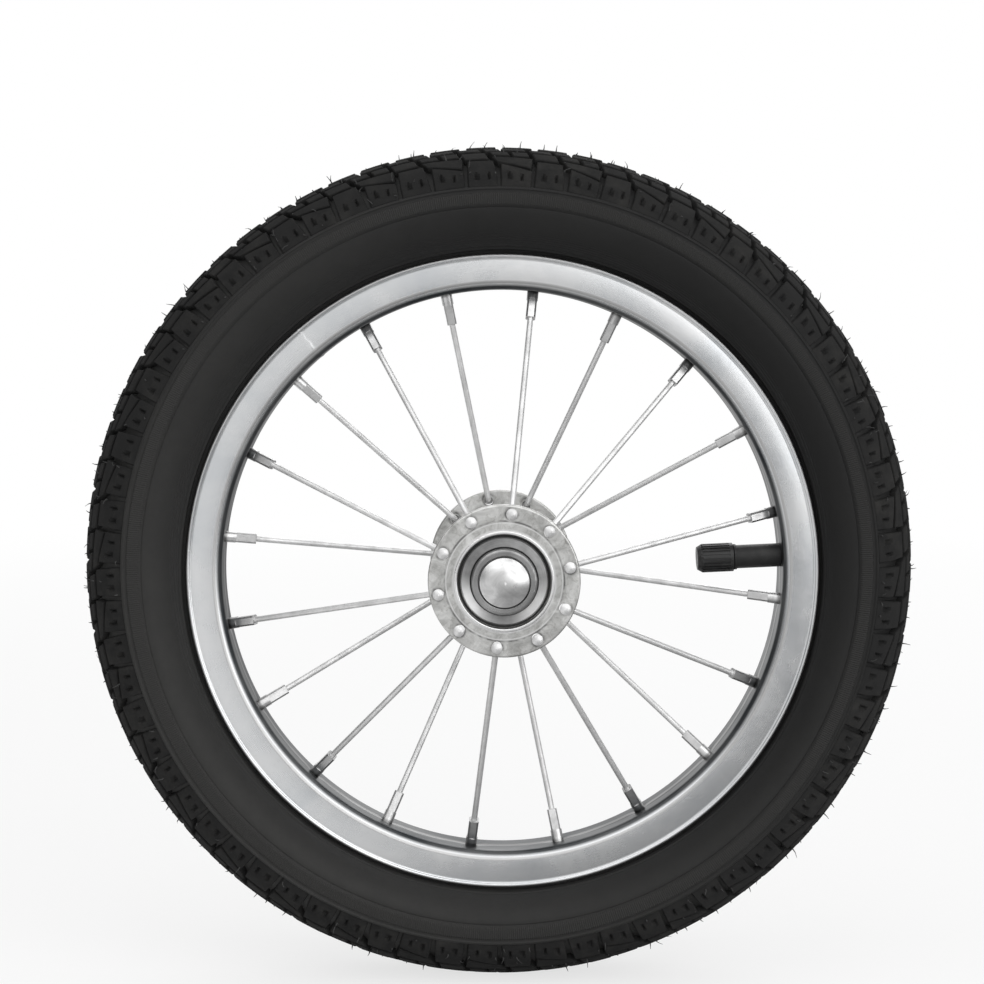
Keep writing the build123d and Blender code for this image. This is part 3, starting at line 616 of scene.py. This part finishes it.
# ---- Materials -----------------------------------------------------------------------------------
class Finish:
    """A material with one Principled shader, and short ways to add the nodes that feed it."""

    def __init__(self, name, **constants):
        self.material = bpy.data.materials.new(name)
        self.material.use_nodes = True
        self.tree = self.material.node_tree
        self.shader = self.tree.nodes["Principled BSDF"]
        for socket, value in constants.items():
            self.shader.inputs[socket.replace("_", " ")].default_value = value

    def add(self, kind, output, inputs, **settings):
        """A node's output socket.  Inputs are numbers, colours or other nodes' sockets."""
        node = self.tree.nodes.new(kind)
        for name, value in settings.items():
            setattr(node, name, value)
        for place, value in inputs.items():
            if isinstance(value, bpy.types.NodeSocket):
                self.tree.links.new(value, node.inputs[place])
            else:
                node.inputs[place].default_value = value
        return node.outputs[output]

    def feed(self, socket, value):
        self.tree.links.new(value, self.shader.inputs[socket])

    def maths(self, operation, first, second=0.0, third=0.0):
        return self.add("ShaderNodeMath", 0, {0: first, 1: second, 2: third}, operation=operation)

    def place(self):
        """Object coordinates, in metres."""
        return self.add("ShaderNodeTexCoord", "Object", {})

    def polar(self, centre=(0.0, 0.0, 0.0)):
        """Distance from the axle or another centre, angle round it and place along it."""
        inputs = {0: self.place(), 1: centre}
        from_centre = self.add("ShaderNodeVectorMath", 0, inputs, operation="SUBTRACT")
        split = self.tree.nodes.new("ShaderNodeSeparateXYZ")
        self.tree.links.new(from_centre, split.inputs[0])
        x, y, z = split.outputs
        return self.length(x, z), self.maths("ARCTAN2", x, z), y

    def length(self, first, second):
        squares = self.maths("ADD", self.times(first, first), self.times(second, second))
        return self.maths("SQRT", squares)

    def join(self, x, y, z):
        return self.add("ShaderNodeCombineXYZ", 0, {0: x, 1: y, 2: z})

    def scaled(self, vector, x, y, z):
        return self.add("ShaderNodeVectorMath", 0, {0: vector, 1: (x, y, z)}, operation="MULTIPLY")

    def turned(self, out, angle, along, fine, drawn, detail):
        """Noise in fine rings round the axle, drawn out along them."""
        place = self.join(self.times(out, fine), self.times(angle, drawn), self.times(along, fine))
        return self.noise(place, 1.0, detail)

    def noise(self, vector, scale, detail=3.0, roughness=0.55, distortion=0.0):
        inputs = {
            "Vector": vector, "Scale": scale, "Detail": detail,
            "Roughness": roughness, "Distortion": distortion,
        }
        return self.add("ShaderNodeTexNoise", "Fac", inputs)

    def fit(self, value, low, high, low_out=0.0, high_out=1.0):
        """The value stretched from low..high to low_out..high_out, and kept within it."""
        inputs = {0: value, 1: low, 2: high, 3: low_out, 4: high_out}
        return self.add("ShaderNodeMapRange", 0, inputs)

    def times(self, first, second):
        return self.maths("MULTIPLY", first, second)

    def between(self, value, rise, top, edge, fall):
        """1 from top to edge, and 0 below rise and above fall."""
        return self.times(self.fit(value, rise, top), self.fit(value, edge, fall, 1.0, 0.0))

    def band(self, value, low, high, soft):
        """1 where the value lies between low and high, with soft edges."""
        return self.between(value, low - soft, low + soft, high - soft, high + soft)

    def blend(self, share, first, second):
        """A colour between two colours."""
        node = self.tree.nodes.new("ShaderNodeMix")
        node.data_type = "RGBA"
        factor, colour_a, colour_b, result = 0, 6, 7, 2     # the Mix node's sockets for colours
        for place, value in ((factor, share), (colour_a, first), (colour_b, second)):
            if isinstance(value, bpy.types.NodeSocket):
                self.tree.links.new(value, node.inputs[place])
            else:
                node.inputs[place].default_value = value
        return node.outputs[result]

    def bump(self, height, distance, strength=1.0, under=None):
        inputs = {"Height": height, "Distance": distance, "Strength": strength}
        if under is not None:
            inputs["Normal"] = under
        return self.add("ShaderNodeBump", "Normal", inputs)


def grey(level, warm=0.0):
    """A near-neutral colour.  A warm share above 0 takes blue out, below 0 takes red out."""
    return (level * (1.0 + 0.5 * warm), level, level * (1.0 - warm), 1.0)


def rubber(name, base, dusty, roughness, shine):
    """Black rubber with mould grain, dull smears and a dusty bloom."""
    finish = Finish(name, Specular_IOR_Level=shine)
    place = finish.place()
    smears = finish.noise(place, 26.0, 5.0, 0.6, 0.8)
    dust_and_painted_light = finish.fit(finish.noise(place, 150.0, 6.0, 0.7), 0.42, 0.72)
    share = finish.times(dust_and_painted_light, finish.fit(smears, 0.35, 0.7))
    finish.feed("Base Color", finish.blend(share, base, dusty))
    finish.feed("Roughness", finish.fit(smears, 0.3, 0.7, roughness - 0.07, roughness + 0.1))
    grain = finish.bump(finish.noise(place, 2600.0, 2.0), 0.00006, 0.8)
    finish.feed("Normal", finish.bump(finish.noise(place, 60.0, 3.0), 0.0006, 0.5, grain))
    return finish.material


def sidewall_rubber():
    """The sidewall's rubber: ribs in the raised band, rings at its foot, a dusty road film, painted
    light that makes its lower left side lighter, and painted shade that darkens it towards the rim.
    """
    finish = Finish("tyre_side_rubber", Specular_IOR_Level=0.16)
    place = finish.place()
    out, angle, _ = finish.polar((SHIFT_X * MM, 0.0, SHIFT_Z * MM))
    # Painted light: the sidewall grows lighter towards the lower left, mixed with its dusty smears.
    inputs = {0: place, 1: SIDE_PAINTED_LIGHT_WAY}
    towards_painted_light = finish.add("ShaderNodeVectorMath", 1, inputs, operation="DOT_PRODUCT")
    smears = finish.noise(place, 24.0, 5.0, 0.6, 0.8)
    fine = finish.noise(place, 150.0, 6.0, 0.7)
    painted_light_and_smears = finish.maths("ADD", towards_painted_light, finish.fit(smears, 0.3, 0.7, -0.28, 0.28))
    dust_and_painted_light = finish.times(finish.fit(painted_light_and_smears, -0.95, 1.0), finish.fit(fine, 0.3, 0.7, 0.75, 1.0))
    colour = finish.blend(dust_and_painted_light, grey(0.0125), grey(0.032, 0.03))
    band = finish.band(out, *BAND_SHADE, 0.0004)
    colour = finish.blend(finish.times(band, 0.6), colour, grey(0.026, 0.03))
    # Painted shade: darker towards the rim.
    foot = finish.fit(out, *FOOT_PAINTED_SHADE, 1.0, 0.0)
    colour = finish.blend(finish.times(foot, 0.35), colour, grey(0.008))
    finish.feed("Base Color", colour)
    finish.feed("Roughness", finish.fit(smears, 0.3, 0.7, 0.5, 0.66))
    grain = finish.bump(finish.noise(place, 2600.0, 2.0), 0.00006, 0.8)
    relief = finish.bump(finish.noise(place, 60.0, 3.0), 0.0006, 0.5, grain)
    ribs = finish.maths("SINE", finish.times(angle, BAND_RIBS))
    relief = finish.bump(finish.times(ribs, band), 0.00012, 0.6, relief)
    rings = finish.maths("SINE", finish.times(out, FOOT_RING_TURNS))
    low = finish.band(out, *FOOT_RINGS, 0.0004)
    finish.feed("Normal", finish.bump(finish.times(rings, low), 0.00008, 0.6, relief))
    return finish.material


def plated_rim():
    """Bright zinc plate, clouded and scuffed, with painted shade in the spoke bed, mottled by stains,
    and a painted highlight on its ridge; the rolled edge and crease get painted shade that dims their
    highlights.
    """
    finish = Finish("rim_zinc_plate", Metallic=1.0)
    out, angle, along = finish.polar((0.0, RIM_Y * MM, 0.0))
    place = finish.place()
    grain = finish.turned(out, angle, along, 5200.0, 9.0, 2.0)
    clouds = finish.noise(place, 34.0, 4.0, 0.6, 0.4)
    flecks = finish.fit(finish.noise(place, 900.0, 3.0, 0.7), 0.62, 0.72)
    scratch_place = finish.scaled(place, 60.0, 60.0, 240.0)
    scuffs = finish.fit(finish.noise(scratch_place, 1.0, 5.0, 0.75, 1.5), 0.66, 0.74)
    weld_at = math.radians(WELD_DEG - 360.0)
    weld = finish.band(angle, weld_at - WELD_SHADE, weld_at + WELD_SHADE, 0.004)
    # Painted shade on the rolled edge and the crease: a darker tone that dims their highlights.
    edge = finish.fit(out, *RIM_EDGE_PAINTED_SHADE)
    crease = finish.band(out, *RIM_CREASE_PAINTED_SHADE, 0.0002)
    cool, pale = (0.55, 0.565, 0.58, 1.0), (0.66, 0.665, 0.67, 1.0)
    tint = finish.blend(finish.fit(clouds, 0.35, 0.65), cool, pale)
    marked = finish.blend(finish.times(flecks, 0.12), tint, grey(0.34, 0.03))
    scuffed = finish.blend(finish.times(scuffs, 0.12), marked, grey(0.75))
    welded = finish.blend(finish.times(weld, 0.15), scuffed, grey(0.85))
    painted_fold_shade = finish.maths("MAXIMUM", edge, crease)
    wear_and_painted_light = finish.blend(painted_fold_shade, welded, grey(0.46))
    # Painted shade in the spoke bed, mottled by stains, lighter along the middle ridge as a painted
    # highlight.
    from_middle = finish.maths("ABSOLUTE", along)
    ridge = finish.fit(from_middle, *RIM_RIDGE_PAINTED_HIGHLIGHT, 1.0, 0.0)
    stain_place = finish.scaled(place, 22.0, 60.0, 22.0)
    stains = finish.fit(finish.noise(stain_place, 1.0, 4.0, 0.6), 0.38, 0.62)
    stained_painted_shade = finish.blend(stains, (0.044, 0.048, 0.052, 1.0), (0.125, 0.128, 0.131, 1.0))
    bed_tint = finish.blend(ridge, stained_painted_shade, finish.blend(stains, grey(0.15), grey(0.32)))
    bed = finish.fit(out, *RIM_BED_PAINTED_SHADE, 1.0, 0.0)
    finish.feed("Base Color", finish.blend(bed, wear_and_painted_light, bed_tint))
    rough = finish.fit(clouds, 0.3, 0.7, 0.19, 0.29)
    for marks, rougher in ((grain, 0.05), (bed, 0.08), (painted_fold_shade, 0.16), (scuffs, 0.06)):
        rough = finish.maths("ADD", rough, finish.times(marks, rougher))
    finish.feed("Roughness", rough)
    lines = finish.bump(grain, 0.000012, 0.7)
    dents = finish.bump(clouds, 0.0003, 0.35, lines)
    raised = finish.bump(finish.times(ridge, bed), 0.0003, 0.8, dents)
    finish.feed("Normal", finish.bump(scuffs, 0.00002, 0.3, raised))
    return finish.material


def drawn_wire(name, light, dark, roughness, metal=1.0, ends=()):
    """Dull zinc or nickel with soft marks.  It is darker in rings at the distances in ends."""
    finish = Finish(name, Metallic=metal)
    place = finish.place()
    out, _, _ = finish.polar()
    clouds = finish.noise(place, 170.0, 3.0, 0.6)
    marks = finish.fit(finish.noise(place, 1300.0, 3.0, 0.7), 0.58, 0.75)
    tint = finish.blend(finish.fit(clouds, 0.35, 0.65), light, dark)
    tint = finish.blend(finish.times(marks, 0.28), tint, grey(0.3, 0.05))
    # Darker rings; on the nipples, the outer one is painted shade where the nipple meets the rim.
    for low, high in ends:
        patchy = finish.fit(clouds, 0.3, 0.6, 0.3, 0.8)
        ring = finish.times(finish.band(out, low, high, 0.0004), patchy)
        tint = finish.blend(ring, tint, grey(0.05, 0.04))
    finish.feed("Base Color", tint)
    finish.feed("Roughness", finish.fit(clouds, 0.3, 0.7, roughness, roughness + 0.12))
    finish.feed("Normal", finish.bump(finish.noise(place, 1900.0, 3.0), 0.00002, 0.5))
    return finish.material


def cast_alloy():
    """The hub's alloy: turned rings, blotches and stains, a machined lip made brighter as a painted
    highlight, a painted highlight along the raised step's edge with painted shade just outside it,
    painted shade round the spokes' heads, and black painted shade inside the lip.
    """
    finish = Finish("hub_cast_alloy")
    out, angle, along = finish.polar()
    place = finish.place()
    blotches = finish.noise(place, 130.0, 5.0, 0.7, 0.9)
    stains = finish.fit(finish.noise(place, 420.0, 4.0, 0.7, 1.2), 0.52, 0.7)
    rings = finish.turned(out, angle, along, 2600.0, 2.2, 3.0)
    dull, pale = (0.37, 0.37, 0.36, 1.0), (0.67, 0.67, 0.66, 1.0)
    tint = finish.blend(finish.fit(blotches, 0.35, 0.66), dull, pale)
    worn = finish.blend(finish.times(stains, 0.5), tint, grey(0.20, 0.08))
    patchy = finish.fit(finish.noise(place, 240.0, 2.0), 0.38, 0.6, 0.0, 0.85)
    # Painted shade just outside the raised step's edge and round each spoke's head.
    painted_shade = finish.band(out, *HUB_STEP_PAINTED_SHADE, 0.00025)
    inboard = finish.fit(along, *HUB_MIDDLE)
    outboard = finish.maths("SUBTRACT", 1.0, inboard)
    for start, side in zip(HEAD_STARTS, (outboard, inboard)):
        ring = finish.times(head_ring(finish, out, angle, start), side)
        painted_shade = finish.maths("MAXIMUM", painted_shade, ring)
    worn = finish.blend(finish.times(painted_shade, patchy), worn, grey(0.07))
    # Painted highlight along the raised step's edge; the machined lip, brighter, is also a painted
    # highlight.
    wear_and_painted_light = finish.band(out, *HUB_STEP_PAINTED_HIGHLIGHT, 0.0001)
    lip = finish.between(out, *HUB_LIP)
    machined_and_painted_highlight = finish.maths("MAXIMUM", lip, finish.times(wear_and_painted_light, 0.6))
    worn = finish.blend(machined_and_painted_highlight, worn, grey(0.74))
    # Black painted shade inside the lip, where the bearing sits, and no metal there.
    painted_seat_shade = finish.fit(out, *HUB_SEAT_PAINTED_SHADE, 1.0, 0.0)
    finish.feed("Base Color", finish.blend(painted_seat_shade, worn, grey(0.02)))
    finish.feed("Metallic", finish.maths("SUBTRACT", 1.0, painted_seat_shade))
    rough = finish.fit(blotches, 0.3, 0.7, 0.34, 0.5)
    finish.feed("Roughness", finish.maths("SUBTRACT", rough, finish.times(lip, 0.1)))
    pits = finish.bump(finish.noise(place, 1400.0, 3.0, 0.7), 0.00005, 0.6)
    finish.feed("Normal", finish.bump(rings, 0.00003, 0.5, pits))
    return finish.material


def head_ring(finish, out, angle, start_deg):
    """1 in a thin ring round each spoke's head on a flange, whose first is at start_deg."""
    step = math.radians(HEAD_STEP_DEG)
    turned = finish.maths("SUBTRACT", angle, math.radians(start_deg) - 0.5 * step)
    past = finish.maths("SUBTRACT", finish.maths("FLOORED_MODULO", turned, step), 0.5 * step)
    across = finish.times(past, HEAD_CIRCLE_R)
    up = finish.maths("SUBTRACT", out, HEAD_CIRCLE_R)
    return finish.between(finish.length(across, up), *HEAD_PAINTED_SHADE)


def turned_steel(name, level, roughness, sectors=(), seal=None):
    """Turned steel, with painted reflections as lighter and darker tones in some sectors, and black
    rubber inside seal.
    """
    finish = Finish(name, Anisotropic=0.85, Anisotropic_Rotation=0.25)
    out, angle, along = finish.polar()
    place = finish.place()
    clouds = finish.noise(place, 190.0, 4.0, 0.6)
    rings = finish.turned(out, angle, along, 6000.0, 1.5, 2.0)
    tint = finish.blend(finish.fit(clouds, 0.35, 0.65), grey(level), grey(level * 0.74))
    scores = finish.times(finish.fit(rings, 0.5, 0.75), 0.4)
    tint = finish.blend(scores, tint, grey(level * 0.4))
    # Painted reflections: lighter and darker sectors, fixed to the part.
    for low, high, tone in sectors:
        tint = finish.blend(finish.band(angle, low, high, SECTOR_SOFTNESS), tint, grey(tone))
    finish.feed("Roughness", finish.fit(clouds, 0.3, 0.7, roughness, roughness + 0.1))
    finish.feed("Normal", finish.bump(rings, 0.00002, 0.7))
    tangent = finish.add("ShaderNodeTangent", 0, {}, direction_type="RADIAL", axis="Y")
    finish.feed("Tangent", tangent)
    if seal is None:
        finish.feed("Base Color", tint)
        finish.shader.inputs["Metallic"].default_value = 1.0
    else:
        rubbery = finish.fit(out, seal - 0.0001, seal + 0.0001, 1.0, 0.0)
        finish.feed("Base Color", finish.blend(rubbery, tint, grey(0.012)))
        finish.feed("Metallic", finish.maths("SUBTRACT", 1.0, rubbery))
    return finish.material


def polished_chrome():
    """The release button's plate, with a light haze, hairlines and a painted reflection in the
    middle, darker and duller.
    """
    finish = Finish("button_polished_chrome", Metallic=1.0)
    out, _, _ = finish.polar()
    place = finish.place()
    haze = finish.noise(place, 160.0, 4.0, 0.65, 0.6)
    hairs = finish.fit(finish.noise(finish.scaled(place, 900.0, 200.0, 90.0), 1.0, 3.0), 0.6, 0.7)
    # Painted reflection: darker and duller in the middle.
    middle = finish.fit(out, *BUTTON_PAINTED_REFLECTION, 1.0, 0.0)
    painted_reflection = finish.times(middle, finish.fit(haze, 0.4, 0.6, 0.6, 1.0))
    tint = finish.blend(finish.fit(haze, 0.35, 0.65), grey(0.68), grey(0.46))
    finish.feed("Base Color", finish.blend(finish.times(painted_reflection, 0.6), tint, grey(0.42)))
    rough = finish.fit(haze, 0.3, 0.7, 0.27, 0.36)
    finish.feed("Roughness", finish.maths("ADD", rough, finish.times(painted_reflection, 0.2)))
    finish.feed("Normal", finish.bump(hairs, 0.000006, 0.5, finish.bump(haze, 0.00012, 0.3)))
    return finish.material


def moulded_plastic():
    """The valve cap: black plastic with a faint grain and worn edges."""
    finish = Finish("cap_moulded_plastic", Specular_IOR_Level=0.4)
    place = finish.place()
    wear_and_painted_light = finish.fit(finish.noise(place, 500.0, 4.0, 0.7), 0.5, 0.75)
    finish.feed("Base Color", finish.blend(wear_and_painted_light, grey(0.012), grey(0.035)))
    finish.feed("Roughness", finish.fit(wear_and_painted_light, 0.0, 1.0, 0.38, 0.6))
    finish.feed("Normal", finish.bump(finish.noise(place, 2400.0, 2.0), 0.00003, 0.6))
    return finish.material


def dress(material, *starts):
    """Gives a material to every CAD node whose name starts in one of these ways."""
    for name, node in nodes.items():
        if name.startswith(starts):
            for holder in node.material_slots:
                holder.material = material


# ---- Studio --------------------------------------------------------------------------------------
def sums(tree, operation, first, second):
    """The output of a Math node that takes two other nodes' outputs."""
    node = tree.nodes.new("ShaderNodeMath")
    node.operation = operation
    tree.links.new(first, node.inputs[0])
    tree.links.new(second, node.inputs[1])
    return node.outputs[0]


def ranged(tree, value, low, high, low_out, high_out):
    """A value stretched smoothly from low..high to low_out..high_out."""
    node = tree.nodes.new("ShaderNodeMapRange")
    node.interpolation_type = "SMOOTHSTEP"
    for place, number in enumerate((low, high, low_out, high_out), 1):
        node.inputs[place].default_value = number
    tree.links.new(value, node.inputs[0])
    return node.outputs[0]


def mixed_number(tree, share, first, second):
    """A number between a constant and another node's output."""
    node = tree.nodes.new("ShaderNodeMix")
    node.data_type = "FLOAT"
    factor, number_a, number_b = 0, 2, 3      # the Mix node's sockets for numbers
    node.inputs[number_a].default_value = first
    tree.links.new(share, node.inputs[factor])
    tree.links.new(second, node.inputs[number_b])
    return node.outputs[0]


def seen_directly(tree):
    """1 for rays that show the background itself, also in metal and glass."""
    path = tree.nodes.new("ShaderNodeLightPath")
    total = path.outputs["Is Camera Ray"]
    for name in ("Is Glossy Ray", "Is Transmission Ray"):
        total = sums(tree, "MAXIMUM", total, path.outputs[name])
    return total


def floor():
    """A wide pale floor, white where it isn't shaded.  Metal sees it darker in front at the right."""
    bpy.ops.mesh.primitive_grid_add(
        x_subdivisions=FLOOR_GRID, y_subdivisions=FLOOR_GRID, size=FLOOR_SIZE,
        location=(0, 0, FLOOR_Z))
    plane = bpy.context.object
    plane.name = "studio_floor"
    material = bpy.data.materials.new("floor_white")
    material.use_nodes = True
    tree = material.node_tree
    tree.nodes.clear()
    link = tree.links.new
    paper = tree.nodes.new("ShaderNodeBsdfDiffuse")
    paper.inputs["Color"].default_value = FLOOR_COLOUR
    coordinates = tree.nodes.new("ShaderNodeTexCoord")
    length = tree.nodes.new("ShaderNodeVectorMath")
    length.operation = "LENGTH"
    link(coordinates.outputs["Object"], length.inputs[0])
    fade = ranged(tree, length.outputs["Value"], *FLOOR_FADE)
    split = tree.nodes.new("ShaderNodeSeparateXYZ")
    link(coordinates.outputs["Object"], split.inputs[0])
    right = ranged(tree, split.outputs[0], *FLOOR_DARK_RIGHT)
    away = ranged(tree, split.outputs[1], *FLOOR_DARK_AWAY)
    path = tree.nodes.new("ShaderNodeLightPath")
    tone = sums(tree, "MAXIMUM", right, away)
    glow = tree.nodes.new("ShaderNodeEmission")
    glow.inputs["Color"].default_value = WHITE
    glossy = path.outputs["Is Glossy Ray"]
    link(mixed_number(tree, glossy, 1.0, tone), glow.inputs["Strength"])
    share = sums(tree, "MULTIPLY", fade, seen_directly(tree))
    share = sums(tree, "MAXIMUM", share, glossy)
    mixed = tree.nodes.new("ShaderNodeMixShader")
    link(share, mixed.inputs[0])
    link(paper.outputs[0], mixed.inputs[1])
    link(glow.outputs[0], mixed.inputs[2])
    output = tree.nodes.new("ShaderNodeOutputMaterial")
    link(mixed.outputs[0], output.inputs["Surface"])
    plane.data.materials.append(material)


def world():
    """White where it is seen.  Metal also sees the room's darker corner and its darker left wall."""
    surroundings = bpy.data.worlds.new("studio")
    bpy.context.scene.world = surroundings
    surroundings.use_nodes = True
    tree = surroundings.node_tree
    tree.nodes.clear()
    link = tree.links.new
    coordinates = tree.nodes.new("ShaderNodeTexCoord")
    lean = tree.nodes.new("ShaderNodeVectorMath")
    lean.operation = "DOT_PRODUCT"
    lean.inputs[1].default_value = ROOM_BRIGHT_WAY
    link(coordinates.outputs["Generated"], lean.inputs[0])
    cosine = lean.outputs["Value"]
    room = ranged(tree, cosine, ROOM_DARK_AT, ROOM_BRIGHT_AT, ROOM_DARK, 1.0)
    split = tree.nodes.new("ShaderNodeSeparateXYZ")
    link(coordinates.outputs["Generated"], split.inputs[0])
    room = sums(tree, "MULTIPLY", room, ranged(tree, split.outputs[0], *ROOM_DARK_LEFT))
    path = tree.nodes.new("ShaderNodeLightPath")
    tone = mixed_number(tree, path.outputs["Is Glossy Ray"], 1.0, room)
    background = tree.nodes.new("ShaderNodeBackground")
    background.inputs["Color"].default_value = WHITE
    level = mixed_number(tree, seen_directly(tree), WORLD_LEVEL, tone)
    link(level, background.inputs["Strength"])
    output = tree.nodes.new("ShaderNodeOutputWorld")
    link(background.outputs[0], output.inputs["Surface"])


def lamps():
    """Soft square boxes that face the wheel."""
    for name, place, size, power in LAMPS:
        data = bpy.data.lights.new(name, "AREA")
        data.shape = "SQUARE"
        data.size = size
        data.energy = power
        lamp = bpy.data.objects.new(name, data)
        bpy.context.scene.collection.objects.link(lamp)
        lamp.location = place
        way = LAMP_TARGET - lamp.location
        lamp.rotation_euler = way.to_track_quat("-Z", "Y").to_euler()


def camera():
    data = bpy.data.cameras.new("camera")
    data.lens = CAMERA_LENS
    data.shift_x, data.shift_y = CAMERA_SHIFT
    eye = bpy.data.objects.new("camera", data)
    bpy.context.scene.collection.objects.link(eye)
    eye.location = CAMERA_PLACE
    eye.rotation_euler = (math.radians(90.0), 0.0, 0.0)
    bpy.context.scene.camera = eye


# ---- The whole -----------------------------------------------------------------------------------
tyre_carcass(sidewall_rubber())
tyre_tread(rubber("tyre_tread_rubber", grey(0.0175), grey(0.036, 0.05), 0.85, 0.08))
# The hairs' rubber is lighter than the tread's: painted light for the light that they catch.
tyre_hairs(rubber("tyre_hair_painted_light_rubber", grey(0.05), grey(0.09), 0.7, 0.2))
rim(plated_rim())

dress(drawn_wire("spoke_galvanised", grey(0.74), grey(0.60), 0.42, metal=0.75), "spoke_")
dress(drawn_wire("nipple_nickel", grey(0.70), grey(0.50), 0.32, ends=NIPPLE_DARK_RINGS), "nipple_")
dress(cast_alloy(), "hub_shell")
outer_ring = turned_steel("bearing_outer_steel", 0.38, 0.32, OUTER_RING_PAINTED_SECTORS, seal=SHIELD_R)
inner_ring = turned_steel("bearing_inner_steel", 0.36, 0.32, INNER_RING_PAINTED_SECTORS)
dress(outer_ring, "bearing_outer")
dress(inner_ring, "bearing_inner")
dress(turned_steel("axle_turned_steel", 0.34, 0.26), "axle", "retaining_balls")
dress(polished_chrome(), "release_button")
dress(rubber("valve_soft_rubber", grey(0.012), grey(0.03), 0.45, 0.32), "valve_stem")
dress(moulded_plastic(), "valve_cap")

floor()
world()
lamps()
camera()
bpy.context.scene.view_settings.view_transform = "Standard"
